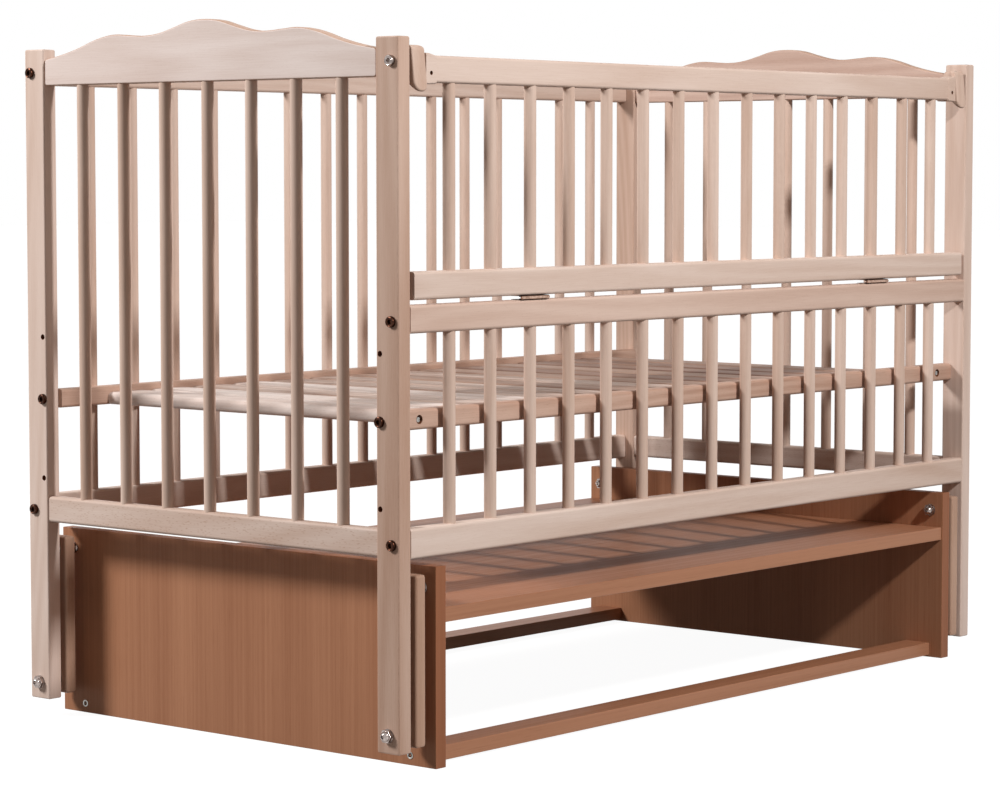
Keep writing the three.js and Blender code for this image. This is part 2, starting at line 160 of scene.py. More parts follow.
def joined(shapes, looks=None):
    """Several shapes as one; looks gives each one's material place on the piece."""
    whole = bmesh.new()
    for n, shape in enumerate(shapes):
        if looks:
            for face in shape.faces:
                face.material_index = looks[n]
        part = bpy.data.meshes.new("part")
        shape.to_mesh(part)
        shape.free()
        whole.from_mesh(part)
        bpy.data.meshes.remove(part)
    return whole


def moved(shape, matrix):
    """The shape, moved or turned as a whole."""
    bmesh.ops.transform(shape, matrix=matrix, verts=shape.verts)
    if matrix.determinant() < 0:
        bmesh.ops.reverse_faces(shape, faces=shape.faces)
    return shape


def copied(shape, matrix):
    """A moved copy of the shape."""
    return moved(shape.copy(), matrix)


def thicken(shape, way):
    """Grows a flat shape into a solid by moving a copy of its faces."""
    grown = bmesh.ops.extrude_face_region(shape, geom=shape.faces[:])
    raised = [v for v in grown["geom"] if isinstance(v, bmesh.types.BMVert)]
    bmesh.ops.translate(shape, verts=raised, vec=way)


def as_object(name, shape):
    """The shape as an object in the scene."""
    mesh = bpy.data.meshes.new(name)
    shape.to_mesh(mesh)
    shape.free()
    held = bpy.data.objects.new(name, mesh)
    bpy.context.scene.collection.objects.link(held)
    return held


def finished_mesh(held):
    """A new mesh of an object as it is with its modifiers done."""
    bpy.context.view_layer.update()
    settled = bpy.context.evaluated_depsgraph_get()
    return bpy.data.meshes.new_from_object(held.evaluated_get(settled))


def cut(shape, tools, way="DIFFERENCE"):
    """The shape with the tools' volume taken out of it, or only what lies in both."""
    stock = as_object("stock", shape)
    cutter = as_object("cutter", joined(tools))
    saw = stock.modifiers.new("cut", "BOOLEAN")
    saw.operation = way
    saw.solver = "EXACT"
    saw.object = cutter
    done = finished_mesh(stock)
    result = bmesh.new()
    result.from_mesh(done)
    used = [stock.data, cutter.data, done]
    bpy.data.objects.remove(stock)
    bpy.data.objects.remove(cutter)
    for mesh in used:
        bpy.data.meshes.remove(mesh)
    return result


def place(name, shape, looks, node, stands_for=True, sharp=32):
    """Makes the shape a finished piece on the body that carries a CAD node."""
    bmesh.ops.remove_doubles(shape, verts=shape.verts, dist=SAME_PLACE)
    bmesh.ops.recalc_face_normals(shape, faces=shape.faces)
    piece = as_object(name, shape)
    for look in looks:
        piece.data.materials.append(look)
    piece.data.shade_smooth()
    piece.data.set_sharp_from_angle(angle=math.radians(sharp))
    shading = piece.modifiers.new("even shading", "WEIGHTED_NORMAL")
    shading.keep_sharp = True
    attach(piece, frame["nodes"][node]["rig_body"])
    if stands_for:
        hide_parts(node)


# Materials

def colour(red, green, blue):
    """A colour as it is picked on a screen, 0 to 255."""
    def even(c):
        c = c / 255
        return c / 12.92 if c <= 0.04045 else ((c + 0.055) / 1.055) ** 2.4
    return (even(red), even(green), even(blue), 1)


def step(tree, kind, inputs=None, **settings):
    """Adds a shader node and fills its sockets with values or links."""
    made = tree.nodes.new(kind)
    for key, value in settings.items():
        setattr(made, key, value)
    for key, value in (inputs or {}).items():
        if isinstance(value, bpy.types.NodeSocket):
            tree.links.new(value, made.inputs[key])
        else:
            made.inputs[key].default_value = value
    return made


def sums(tree, kind, first, second=0.0, third=0.0):
    """A Math node's result."""
    return step(tree, "ShaderNodeMath", {0: first, 1: second, 2: third}, operation=kind).outputs[0]


def spread(tree, value, low, high, new_low=0.0, new_high=1.0):
    """A value taken from one range to another and held inside it."""
    made = step(tree, "ShaderNodeMapRange", {
        "Value": value, "From Min": low, "From Max": high, "To Min": new_low, "To Max": new_high})
    return made.outputs["Result"]


MIX_SHARE = 0  # a Mix node's sockets by number, since its three kinds share their names
MIX_FIRST = 6
MIX_SECOND = 7
MIX_RESULT = 2


def blend_colour(tree, share, first, second):
    """Two colours mixed by a share."""
    made = step(
        tree, "ShaderNodeMix", {MIX_SHARE: share, MIX_FIRST: first, MIX_SECOND: second},
        data_type="RGBA", blend_type="MIX")
    return made.outputs[MIX_RESULT]


def group(name, inputs, outputs):
    """A shader node group with named sockets."""
    tree = bpy.data.node_groups.new(name, "ShaderNodeTree")
    for label, kind, value in inputs:
        socket = tree.interface.new_socket(label, in_out="INPUT", socket_type="NodeSocket" + kind)
        if value is not None:
            socket.default_value = value
    for label, kind in outputs:
        tree.interface.new_socket(label, in_out="OUTPUT", socket_type="NodeSocket" + kind)
    return tree, tree.nodes.new("NodeGroupInput").outputs, tree.nodes.new("NodeGroupOutput").inputs


def stretched(tree, vector, across, along):
    """The grain's coordinates, drawn out along Z."""
    made = step(tree, "ShaderNodeMapping", {"Vector": vector, "Scale": (across, across, along)})
    return made.outputs["Vector"]


def noise(tree, vector, scale, detail, rough):
    """A cloudy value from 0 to 1."""
    made = step(tree, "ShaderNodeTexNoise", {
        "Vector": vector, "Scale": scale, "Detail": detail, "Roughness": rough})
    return made.outputs["Fac"]


COMMON_INPUTS = [
    ("Vector", "Vector", None),
    ("Pale", "Color", (1, 1, 1, 1)),
    ("Deep", "Color", (0, 0, 0, 1)),
]
COMMON_OUTPUTS = [("Colour", "Color"), ("Roughness", "Float")]
RELIEF_OUTPUTS = COMMON_OUTPUTS + [("Height", "Float")]


def make_beech_grain():
    """Beech along Z: a slow tone, growth rings, fine fibres and short dark flecks."""
    tree, given, out = group(
        "beech grain", COMMON_INPUTS + [("Figure", "Float", 0.3), ("Flecks", "Float", 0.4)],
        RELIEF_OUTPUTS)
    grain = given["Vector"]
    long_grain = stretched(tree, grain, 1, 0.07)
    tone = spread(tree, noise(tree, long_grain, 17, 2, 0.55), 0.3, 0.72)
    rings = sums(tree, "SINE", sums(tree, "MULTIPLY", noise(tree, long_grain, 11, 1.5, 0.45), 95))
    rings = spread(tree, rings, -1, 1)
    fibre = noise(tree, stretched(tree, grain, 1, 0.025), 900, 3, 0.6)
    fibre = spread(tree, fibre, 0.3, 0.7)
    cells = step(tree, "ShaderNodeTexVoronoi", {
        "Vector": stretched(tree, grain, 1, 0.22), "Scale": 620.0}, feature="F1")
    fleck = spread(tree, cells.outputs["Distance"], 0.12, 0.34, 1, 0)
    chosen = step(tree, "ShaderNodeSeparateColor", {"Color": cells.outputs["Color"]}).outputs[0]
    fleck = sums(tree, "MULTIPLY", fleck, spread(tree, chosen, 0.45, 0.8))
    fleck = sums(tree, "MULTIPLY", fleck, given["Flecks"])
    figure = sums(tree, "MULTIPLY", rings, given["Figure"])
    share = sums(tree, "MULTIPLY_ADD", tone, 0.5, figure)
    share = sums(tree, "MULTIPLY_ADD", fibre, 0.22, share)
    share = sums(tree, "ADD", share, fleck)
    tree.links.new(blend_colour(tree, share, given["Pale"], given["Deep"]), out["Colour"])
    rough = sums(tree, "MULTIPLY_ADD", fibre, 0.12, 0.42)
    tree.links.new(sums(tree, "MULTIPLY_ADD", tone, 0.06, rough), out["Roughness"])
    height = sums(tree, "MULTIPLY_ADD", fibre, 0.6, sums(tree, "MULTIPLY", fleck, -0.8))
    tree.links.new(sums(tree, "MULTIPLY_ADD", rings, 0.3, height), out["Height"])
    return tree


def make_wood_print():
    """The printed grain of a laminate along Z: broad bands, thin streaks and dark pores."""
    tree, given, out = group("wood print", COMMON_INPUTS, RELIEF_OUTPUTS)
    grain = given["Vector"]
    broad = spread(tree, noise(tree, stretched(tree, grain, 1, 0.04), 16, 2, 0.5), 0.3, 0.7)
    streak = spread(tree, noise(tree, stretched(tree, grain, 1, 0.008), 240, 3, 0.65), 0.32, 0.68)
    pores = noise(tree, stretched(tree, grain, 1, 0.03), 750, 2, 0.6)
    pores = spread(tree, pores, 0.56, 0.7)
    share = sums(tree, "MULTIPLY_ADD", streak, 0.3, sums(tree, "MULTIPLY", broad, 0.42))
    share = sums(tree, "MULTIPLY_ADD", pores, 0.22, share)
    tree.links.new(blend_colour(tree, share, given["Pale"], given["Deep"]), out["Colour"])
    tree.links.new(sums(tree, "MULTIPLY_ADD", streak, 0.1, 0.36), out["Roughness"])
    tree.links.new(sums(tree, "MULTIPLY", pores, -1.0), out["Height"])
    return tree


def make_polish_marks():
    """The uneven polish of plated metal."""
    tree, given, out = group(
        "polish marks", COMMON_INPUTS + [("Base roughness", "Float", 0.2)], COMMON_OUTPUTS)
    cloud = spread(tree, noise(tree, given["Vector"], 260, 3, 0.6), 0.35, 0.7)
    fine = noise(tree, given["Vector"], 1900, 2, 0.5)
    tree.links.new(blend_colour(tree, cloud, given["Pale"], given["Deep"]), out["Colour"])
    rough = sums(tree, "MULTIPLY_ADD", cloud, 0.12, given["Base roughness"])
    tree.links.new(sums(tree, "MULTIPLY_ADD", fine, 0.06, rough), out["Roughness"])
    return tree


BEECH_GRAIN = make_beech_grain()
WOOD_PRINT = make_wood_print()
POLISH = make_polish_marks()
GRAIN_TURN = {"x": (0, math.radians(90), 0), "y": (math.radians(90), 0, 0), "z": (0, 0, 0)}


RELIEF_DEPTH = 0.0003


def surface(name, grain, tree_group, values, bump=0.0, metallic=0.0, **shader):
    """A material from a node group: its colours and roughness, and a fine relief."""
    look = bpy.data.materials.new(name)
    look.use_nodes = True
    tree = look.node_tree
    tree.nodes.clear()
    where = step(tree, "ShaderNodeTexCoord").outputs["Object"]
    along = step(tree, "ShaderNodeMapping", {"Vector": where, "Rotation": GRAIN_TURN[grain]})
    finish = step(tree, "ShaderNodeGroup", node_tree=tree_group)
    tree.links.new(along.outputs["Vector"], finish.inputs["Vector"])
    for key, value in values.items():
        finish.inputs[key].default_value = value
    main = step(tree, "ShaderNodeBsdfPrincipled", {
        "Base Color": finish.outputs["Colour"], "Roughness": finish.outputs["Roughness"],
        "Metallic": metallic, **shader})
    if bump:
        relief = step(tree, "ShaderNodeBump", {
            "Height": finish.outputs["Height"], "Strength": bump, "Distance": RELIEF_DEPTH})
        tree.links.new(relief.outputs["Normal"], main.inputs["Normal"])
    end = step(tree, "ShaderNodeOutputMaterial")
    tree.links.new(main.outputs["BSDF"], end.inputs["Surface"])
    return look


def beech(name, grain, pale, deep, figure, flecks):
    """Bare beech with its grain along an axis."""
    values = {"Pale": colour(*pale), "Deep": colour(*deep), "Figure": figure, "Flecks": flecks}
    return surface(
        name, grain, BEECH_GRAIN, values, bump=0.25, **{"Specular IOR Level": 0.16})


RAILS = beech("beech rails", "x", (229, 209, 197), (193, 162, 143), figure=0.2, flecks=0.16)
MID_RAIL = beech(
    "beech middle rail", "x", (219, 193, 178), (184, 149, 130), figure=0.2, flecks=0.16)
END_RAILS = beech(
    "beech end rails", "y", (234, 216, 205), (194, 162, 143), figure=0.2, flecks=0.5)
POSTS = beech("beech posts", "z", (215, 187, 170), (177, 140, 119), figure=0.22, flecks=0.14)
PALE_POSTS = beech(
    "pale beech posts", "z", (232, 211, 199), (198, 168, 150), figure=0.22, flecks=0.14)
BARS = beech("beech bars", "z", (226, 203, 189), (189, 155, 134), figure=0.12, flecks=0.08)
CREST = beech("beech crest", "y", (238, 224, 218), (204, 180, 168), figure=0.2, flecks=0.12)
# The right crest's face in a darker beech: painted shade, since less light reaches it.
SHADED_CREST = beech(
    "beech crest painted shade", "y", (222, 196, 182), (180, 146, 130), figure=0.3, flecks=0.2)
CREST_EDGE = beech(
    "beech crest edge", "y", (206, 174, 154), (160, 122, 100), figure=0.2, flecks=0.3)
BASE = beech("beech base", "x", (208, 176, 158), (164, 126, 106), figure=0.3, flecks=0.2)
# Four copies of the slats' beech, pale to dark, for the same wood: painted light on the slats
# nearest the left end and painted shade on those further right, which get less light.
SLAT_BEECH_LIT_TO_SHADED = [
    beech("slat beech painted light", "y", (244, 234, 228), (184, 156, 142), figure=0.25, flecks=0.2),
    beech("streaked slat beech painted half shade", "y", (222, 202, 190), (146, 112, 94), figure=0.45, flecks=0.25),
    beech("slat beech painted shade", "y", (190, 160, 143), (132, 98, 80), figure=0.35, flecks=0.3),
    beech("slat beech painted deep shade", "y", (164, 132, 115), (112, 78, 62), figure=0.35, flecks=0.3),
]
# A darker beech for the insides of holes: painted shade.
HOLE_SHADE_BEECH = beech("beech painted hole shade", "x", (150, 98, 70), (96, 56, 36), figure=0.2, flecks=0.2)
FLAGS = beech("beech flags", "z", (220, 196, 181), (184, 150, 130), figure=0.15, flecks=0.15)
LINKS = beech("beech links", "z", (206, 172, 150), (156, 115, 92), figure=0.2, flecks=0.2)


def laminate(name, grain, pale, deep):
    """Printed laminate with its grain along an axis."""
    values = {"Pale": colour(*pale), "Deep": colour(*deep)}
    return surface(
        name, grain, WOOD_PRINT, values, bump=0.12, **{"Specular IOR Level": 0.14})


PANEL = laminate("panel laminate", "z", (184, 131, 99), (146, 94, 66))
PANEL_BAND = laminate("panel edge band", "z", (159, 103, 73), (127, 78, 51))
SHELF = laminate("shelf laminate", "x", (182, 126, 95), (146, 95, 68))
SHELF_BAND = laminate("shelf edge band", "x", (184, 131, 101), (154, 105, 78))


def metal(name, pale, deep, rough):
    """Polished or plated metal."""
    values = {"Pale": colour(*pale), "Deep": colour(*deep), "Base roughness": rough}
    return surface(name, "x", POLISH, values, metallic=1.0)


CHROME = metal("chrome", (188, 176, 171), (128, 117, 112), 0.1)
# A dark metal: painted dark reflection on the rail bolts' heads, and painted shade in the lines
# along the hinges' knuckles.
SHADE_AND_REFLECTION_METAL = metal("metal painted shade and dark reflection", (74, 46, 34), (38, 22, 16), 0.2)
HINGE = metal("browned steel", (206, 176, 158), (150, 116, 98), 0.3)
STEEL = metal("zinc plated steel", (176, 174, 170), (140, 137, 132), 0.28)
# Screw heads that sit in holes and sockets, painted dark: painted shade.
SCREW = metal("screw painted shade", (70, 52, 44), (38, 28, 24), 0.34)


# Posts

POST_T = 0.021
POST_CORNER = 0.0022
POST_EASE = 0.0022
RAIL_BOLT_IN = 0.011
LEVEL_IN = 0.029
LEVELS = [LIFT + 0.285, LIFT + 0.465]  # the two mattress heights that aren't in use
LEVEL_HOLE_R = 0.0035
LEVEL_HOLE_DEPTH = 0.018
PIVOT_IN = 0.0175
PIVOT_BORE_R = 0.0044
PIVOT_LOW_Z = LIFT + 0.0215
PIVOT_HIGH_Z = PIVOT_LOW_Z + 0.168
FLAG_PIVOT = (-HALF_WIDTH + 0.011, LIFT + 0.801)
FLAG_BORE_R = 0.0034
LOW_RAIL_MID = LIFT + 0.244
MID_RAIL_MID = LIFT + 0.5045
BACK_TOP_MID = LIFT + 0.7995
BASE_MID = LIFT + 0.386


def in_x(end, inward):
    """The place in X that lies so far inside the outer face of an end."""
    return end * (HALF_LENGTH - inward)


def in_y(side, inward):
    """The place in Y that lies so far inside the face of a long side."""
    return side * (HALF_WIDTH - inward)


def hole_x(end, y, z, radius, depth):
    """A drill along X, from outside an end, to a depth below its outer face."""
    a, b = sorted((in_x(end, -OVERRUN), in_x(end, depth)))
    return rod("x", (y, z), radius, a, b, 24)


def paint_hole_shade(shape, axis, centre, radius):
    """Gives the inside of a drilled hole the second material, a darker beech: painted shade in the
    hole.
    """
    others = [n for n in range(3) if n != "xyz".index(axis)]
    furthest = radius + 0.0001
    largest = 4 * radius ** 2
    for face in shape.faces:
        middle = face.calc_center_median()
        off = math.hypot(*(middle[n] - c for n, c in zip(others, centre)))
        if off < furthest and face.calc_area() < largest:
            face.material_index = 1


def make_posts():
    for side, end, name in CORNERS:
        low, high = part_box(f"post_{name}")
        level_y = in_y(side, LEVEL_IN)
        drills = [hole_x(end, level_y, z, LEVEL_HOLE_R, LEVEL_HOLE_DEPTH) for z in LEVELS]
        drills.append(
            hole_x(end, in_y(side, PIVOT_IN), PIVOT_LOW_Z, PIVOT_BORE_R, POST_T + OVERRUN))
        if side == FRONT:
            drills.append(hole_x(end, *FLAG_PIVOT, FLAG_BORE_R, POST_T + OVERRUN))
        upright = cut(board("z", low, high, POST_CORNER, POST_EASE), drills)
        # Painted shade inside the two level holes.
        for z in LEVELS:
            paint_hole_shade(upright, "x", (level_y, z), LEVEL_HOLE_R)
        look = PALE_POSTS if name in ("front_right", "back_left") else POSTS
        place(f"upright_{name}", upright, [look, HOLE_SHADE_BEECH], f"post_{name}")


# Long sides, end frames and gate

RAIL_CORNER = 0.004
RAIL_EASE = 0.0006
LONG_RAIL_H = 0.036  # lower rails of the front and the back
SHORT_RAIL_H = 0.033  # lower rails of the ends and of the gate
BAR_R = 0.0075
SOCKET = 0.0095  # the bars start so far below their rail's top
LONG_BAR_COUNT = 15
END_BAR_COUNT = 7
OUTER_LONG_BAR_IN = 0.0998
OUTER_END_BAR_IN = 0.097


def evenly(count, reach):
    """Even places from -reach to reach."""
    return [reach * (2 * i / (count - 1) - 1) for i in range(count)]


LONG_BARS = evenly(LONG_BAR_COUNT, HALF_LENGTH - OUTER_LONG_BAR_IN)
END_BARS = evenly(END_BAR_COUNT, HALF_WIDTH - OUTER_END_BAR_IN)


def make_barred_rail(node, axis, height, spots, look):
    """A lower rail and the round bars that stand in it, which are one CAD node."""
    low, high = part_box(node)
    rail_top = low.z + height
    rail = board(axis, low, (high.x, high.y, rail_top), RAIL_CORNER, RAIL_EASE)
    place(node.replace("bars", "low_rail"), rail, [look], node)
    x = (low.x + high.x) / 2
    y = (low.y + high.y) / 2
    centres = [(along, y) if axis == "x" else (x, along) for along in spots]
    bars = joined([rod("z", centre, BAR_R, rail_top - SOCKET, high.z) for centre in centres])
    place(node.replace("bars", "round_bars"), bars, [BARS], node, stands_for=False)


def make_long_sides():
    make_barred_rail("front_bars", "x", LONG_RAIL_H, LONG_BARS, RAILS)
    make_barred_rail("back_bars", "x", LONG_RAIL_H, LONG_BARS, RAILS)
    plain_rails = (("front_mid_rail", MID_RAIL, "beech"), ("back_top_rail", RAILS, "beech_shaded"))
    for node, look, slot in plain_rails:
        low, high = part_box(node)
        rail = board("x", low, high, RAIL_CORNER, RAIL_EASE)
        place(node.replace("_rail", "_long_rail"), rail, [look], node)


# The crest's wave from its middle out: share of the half width, and millimetres above the shoulder.
WAVE = [
    (0, 42), (0.09, 40), (0.18, 33.5), (0.27, 27.4), (0.36, 25), (0.46, 26.4),
    (0.55, 27.8), (0.62, 25.6), (0.69, 21), (0.78, 13), (0.88, 6), (1, 0),
]
CREST_SHOULDER = 0.033
CREST_CORNER = 0.0035
CREST_ROUND = 0.0022


def crest_outline(low, high):
    """The crest board's flat outline in the Y, Z plane, as one face of a new shape."""
    half = high.y
    shoulder = low.z + CREST_SHOULDER
    line = bpy.data.curves.new("crest outline", "CURVE")
    line.dimensions = "2D"
    line.fill_mode = "NONE"
    line.resolution_u = 8
    wave = [(u * half, shoulder + h / 1000) for u, h in WAVE]
    wave = [(-y, z) for y, z in reversed(wave[1:])] + wave
    track = line.splines.new("BEZIER")
    track.bezier_points.add(len(wave) - 1)
    for knot, (y, z) in zip(track.bezier_points, wave):
        knot.co = (y, z, 0)
        knot.handle_left_type = "AUTO"
        knot.handle_right_type = "AUTO"
    held = bpy.data.objects.new("crest outline", line)
    bpy.context.scene.collection.objects.link(held)
    mesh = finished_mesh(held)
    shape = bmesh.new()
    shape.from_mesh(mesh)
    bpy.data.objects.remove(held)
    bpy.data.curves.remove(line)
    bpy.data.meshes.remove(mesh)
    ordered = sorted(shape.verts, key=lambda p: p.co.x)
    feet = [shape.verts.new((half, low.z, 0)), shape.verts.new((-half, low.z, 0))]
    shape.faces.new(ordered + feet)
    square = feet + [ordered[0], ordered[-1]]
    bmesh.ops.bevel(
        shape, geom=square, offset=CREST_CORNER, offset_type="OFFSET", segments=4,
        profile=0.5, affect="VERTICES", material=-1)
    upright = Matrix(((0, 0, 1, low.x), (1, 0, 0, 0), (0, 1, 0, 0), (0, 0, 0, 1)))
    return moved(shape, upright)


def make_crest(end, name):
    """A wavy board over an end, plain on its faces and darker on its edges."""
    low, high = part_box(f"crest_{name}")
    shape = crest_outline(low, high)
    thicken(shape, (high.x - low.x, 0, 0))
    bmesh.ops.remove_doubles(shape, verts=shape.verts, dist=SAME_PLACE)
    bmesh.ops.recalc_face_normals(shape, faces=shape.faces)
    edges = edges_at(shape, "x", low.x) + edges_at(shape, "x", high.x)
    soften(shape, edges, CREST_ROUND, 3)
    for face in shape.faces:
        face.material_index = 0 if abs(face.normal.x) > 0.8 else 1
    # The right crest gets the darker copy: painted shade.
    looks = [CREST if end == LEFT else SHADED_CREST, CREST_EDGE]
    place(f"crest_board_{name}", shape, looks, f"crest_{name}", sharp=40)


def make_ends():
    for end, name in ENDS:
        make_barred_rail(f"end_bars_{name}", "y", SHORT_RAIL_H, END_BARS, END_RAILS)
        make_crest(end, name)


GATE_RAIL_Z = (LIFT + 0.777, LIFT + 0.777 + 0.0315)  # between the shoulders
GATE_RAIL_CORNER = 0.0034
SHOULDER_L = 0.018
SHOULDER_TOP = 0.005  # the shoulder has its full height so far from its end
SHOULDER_STEP = 0.0009  # the shoulder stands so far in front of the rail
SHOULDER_RUN = 0.0012  # the step's slope along the rail
SHOULDER_FOOT_CORNER = 0.0026
SHOULDER_CORNER = 0.0014
PIN_DROP = 0.016  # the pins are so far below the flags' bolts
PIN_BORE_R = 0.0033
PIN_BORE_DEPTH = 0.0163
PIN_R = 0.003
PIN_EASE = 0.0005
GATE_SCREW_IN = 0.0579
GATE_SCREW_Z = LIFT + 0.788
GATE_SCREW_HOLE_R = 0.0025
GATE_SCREW_HOLE_DEPTH = 0.008
GATE_SCREW_R = 0.0024
GATE_SCREW_DEPTHS = (0.006, 0.01)


def make_gate_top_rail():
    """The gate's handrail, with square shoulders, bores for its pins and two deep screws."""
    low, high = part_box("gate_top_rail")
    face = (low.y + SHOULDER_STEP, high.y)
    deep = (low.y, high.y)
    rise = (low.z, high.z)
    reach = high.x
    half = [
        (reach - SHOULDER_L - SHOULDER_RUN, face, GATE_RAIL_Z, GATE_RAIL_CORNER),
        (reach - SHOULDER_L, deep, (rise[0], GATE_RAIL_Z[1]), SHOULDER_FOOT_CORNER),
        (reach - SHOULDER_TOP, deep, rise, SHOULDER_CORNER),
        (reach, deep, rise, SHOULDER_CORNER),
    ]
    stations = [(-x, u, v, corner) for x, u, v, corner in reversed(half)] + half
    pin_at = (FLAG_PIVOT[0], FLAG_PIVOT[1] - PIN_DROP)
    hole_start = low.y - OVERRUN
    hole_end = low.y + GATE_SCREW_HOLE_DEPTH
    screw_start, screw_end = (low.y + depth for depth in GATE_SCREW_DEPTHS)
    drills = []
    for end, name in ENDS:
        a, b = sorted((end * (reach - PIN_BORE_DEPTH), end * (reach + OVERRUN)))
        drills.append(rod("x", pin_at, PIN_BORE_R, a, b, 24))
        screw_at = (in_x(end, GATE_SCREW_IN), GATE_SCREW_Z)
        drills.append(rod("y", screw_at, GATE_SCREW_HOLE_R, hole_start, hole_end, 20))
        screw = rod("y", screw_at, GATE_SCREW_R, screw_start, screw_end, 20)
        # The deep screw is painted dark: painted shade in its hole.
        place(f"gate_rail_screw_{name}", screw, [SCREW], "gate_top_rail",
              stands_for=False)
    rail = cut(lofted("x", stations, RAIL_EASE), drills)
    # Painted shade inside the screw holes.
    for end, _ in ENDS:
        paint_hole_shade(rail, "y", (in_x(end, GATE_SCREW_IN), GATE_SCREW_Z), GATE_SCREW_HOLE_R)
    place("gate_top_long_rail", rail, [RAILS, HOLE_SHADE_BEECH], "gate_top_rail")


def make_gate_pins():
    for _, name in ENDS:
        low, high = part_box(f"gate_pin_{name}")
        centre = ((low.y + high.y) / 2, (low.z + high.z) / 2)
        pin = rod("x", centre, PIN_R, low.x, high.x)
        soften(pin, edges_at(pin, "x", low.x) + edges_at(pin, "x", high.x), PIN_EASE)
        place(f"gate_peg_{name}", pin, [STEEL], f"gate_pin_{name}")


def make_gate():
    make_barred_rail("gate_bars", "x", SHORT_RAIL_H, LONG_BARS, RAILS)
    make_gate_top_rail()
    make_gate_pins()


FLAG_LEAN = math.radians(6)
FLAG_CORNERS = (0.0122, 0.0075, 0.007, 0.004)  # seen from the front, from the lower left round
FLAG_EDGE = 0.0024
FLAG_SIDE_CORNER = 0.009
FLAG_TIP = 0.0018  # before it leans, the flag hangs so far below its solid
FLAG_TIP_T = 0.003
FLAG_TAPER = 0.03
FLAG_INNER_PLAY = 0.0005
FLAG_OUTER_PLAY = 0.0008
NOTCH_DEPTH = 0.0022
NOTCH_IN = 0.0072  # behind the flag's front
NOTCH_DROP = 0.021  # below the flag's bolt
NOTCH_CORNER = 0.0005
FLAG_BORE_DEPTH = 0.0124
BACK_TOOL_T = 0.03
BACK_TOOL_Z = (-0.05, 0.06)
BACK_TOOL_CORNER = 0.001


def flag_blank(x, y, z):
    """A flag's block, cut to the outline seen from the front and with its edges taken off."""
    shape = bmesh.new()
    corners = [shape.verts.new((a, y[0], b))
               for a, b in ((x[0], z[0]), (x[1], z[0]), (x[1], z[1]), (x[0], z[1]))]
    shape.faces.new(corners)
    for corner, radius in zip(corners, FLAG_CORNERS):
        bmesh.ops.bevel(
            shape, geom=[corner], offset=radius, offset_type="OFFSET", segments=6,
            profile=0.5, affect="VERTICES", material=-1)
    thicken(shape, (0, y[1] - y[0], 0))
    bmesh.ops.recalc_face_normals(shape, faces=shape.faces)
    soften(shape, edges_at(shape, "y", y[0]) + edges_at(shape, "y", y[1]), FLAG_EDGE, 3)
    return shape


def flag_back(low, high):
    """The tool that thins a flag towards its tip from behind."""
    slope = math.atan2(high.y - low.y - FLAG_TIP_T, FLAG_TAPER)
    tool_low = (low.x - MARGIN, 0, BACK_TOOL_Z[0])
    tool_high = (high.x + MARGIN, BACK_TOOL_T, BACK_TOOL_Z[1])
    shape = board("x", tool_low, tool_high, BACK_TOOL_CORNER, 0)
    tip = Matrix.Translation((0, low.y + FLAG_TIP_T, low.z))
    return moved(shape, tip @ Matrix.Rotation(-slope, 4, "X"))


def flag_round_ends(low, high):
    """The block that rounds a flag's ends as seen from the side."""
    below = Vector((MARGIN, 0, MARGIN))
    beside = Vector((MARGIN, 0, 0))
    return board("x", low - below, high + beside, FLAG_SIDE_CORNER, 0, 8)


def flag_notch(inner, end, low, high):
    """The tool for the notch in a flag's inner face, where the gate's pin sits."""
    a, b = sorted((inner - end * OVERRUN, inner + end * NOTCH_DEPTH))
    notch_low = (a, low.y + NOTCH_IN, FLAG_PIVOT[1] - NOTCH_DROP)
    notch_high = (b, high.y + MARGIN, high.z + MARGIN)
    return board("x", notch_low, notch_high, NOTCH_CORNER, 0)


def make_flags():
    for end, name in ENDS:
        low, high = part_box(f"flag_{name}")
        low = low - Vector((0, 0, FLAG_TIP))
        inner = end * (min(abs(low.x), abs(high.x)) + FLAG_INNER_PLAY)
        outer = end * (max(abs(low.x), abs(high.x)) - FLAG_OUTER_PLAY)
        top = high.z - FLAG_OUTER_PLAY
        blank = flag_blank(sorted((inner, outer)), (low.y, high.y), (low.z, top))
        a, b = sorted((outer - end * FLAG_BORE_DEPTH, outer + end * OVERRUN))
        bore = rod("x", FLAG_PIVOT, FLAG_BORE_R, a, b, 24)
        rounded = cut(blank, [flag_round_ends(low, high)], "INTERSECT")
        drilled = cut(rounded, [flag_notch(inner, end, low, high), bore])
        flag = cut(drilled, [flag_back(low, high)])
        pivot = Matrix.Translation((0, *FLAG_PIVOT))
        lean = pivot @ Matrix.Rotation(-FLAG_LEAN, 4, "X") @ pivot.inverted()
        place(f"latch_flag_{name}", moved(flag, lean), [FLAGS], f"flag_{name}")


# Bolts, nuts and screws

RAIL_BOLT_HEAD = (0.0066, 0.0044)  # radius and height
MID_BOLT_DROP = 0.002
FLAG_BOLT_HEAD = (0.0065, 0.005)
FLAG_BOLT_R = 0.003
SHANK_OUT = 0.0008  # the shank reaches so far into its head
SOCKET_OUT = 0.001


def hex_socket(along, size, depth):
    """A tool for the six-sided socket in a bolt's head, along X."""
    return rod("x", (0, 0), size, along - depth, along + SOCKET_OUT, 6)


def bolt_head(radius, height):
    """A cylindrical head with a soft rim and a hex socket, standing on X = 0."""
    head = turned([
        (0, 0), (0, radius), (height * 0.7, radius), (height * 0.92, radius - 0.0006),
        (height, radius - 0.0014), (height - 0.0002, radius - 0.002),
        (height - 0.0006, radius - 0.0024), (height - 0.0006, 0)], 40)
    return cut(head, [hex_socket(height, radius * 0.48, height * 0.7)])


def outward(end, x, y, z):
    """The matrix that sets a part made along +X at a place, pointing out of an end."""
    return Matrix.Translation((x, y, z)) @ Matrix.Diagonal((end, 1, 1, 1))


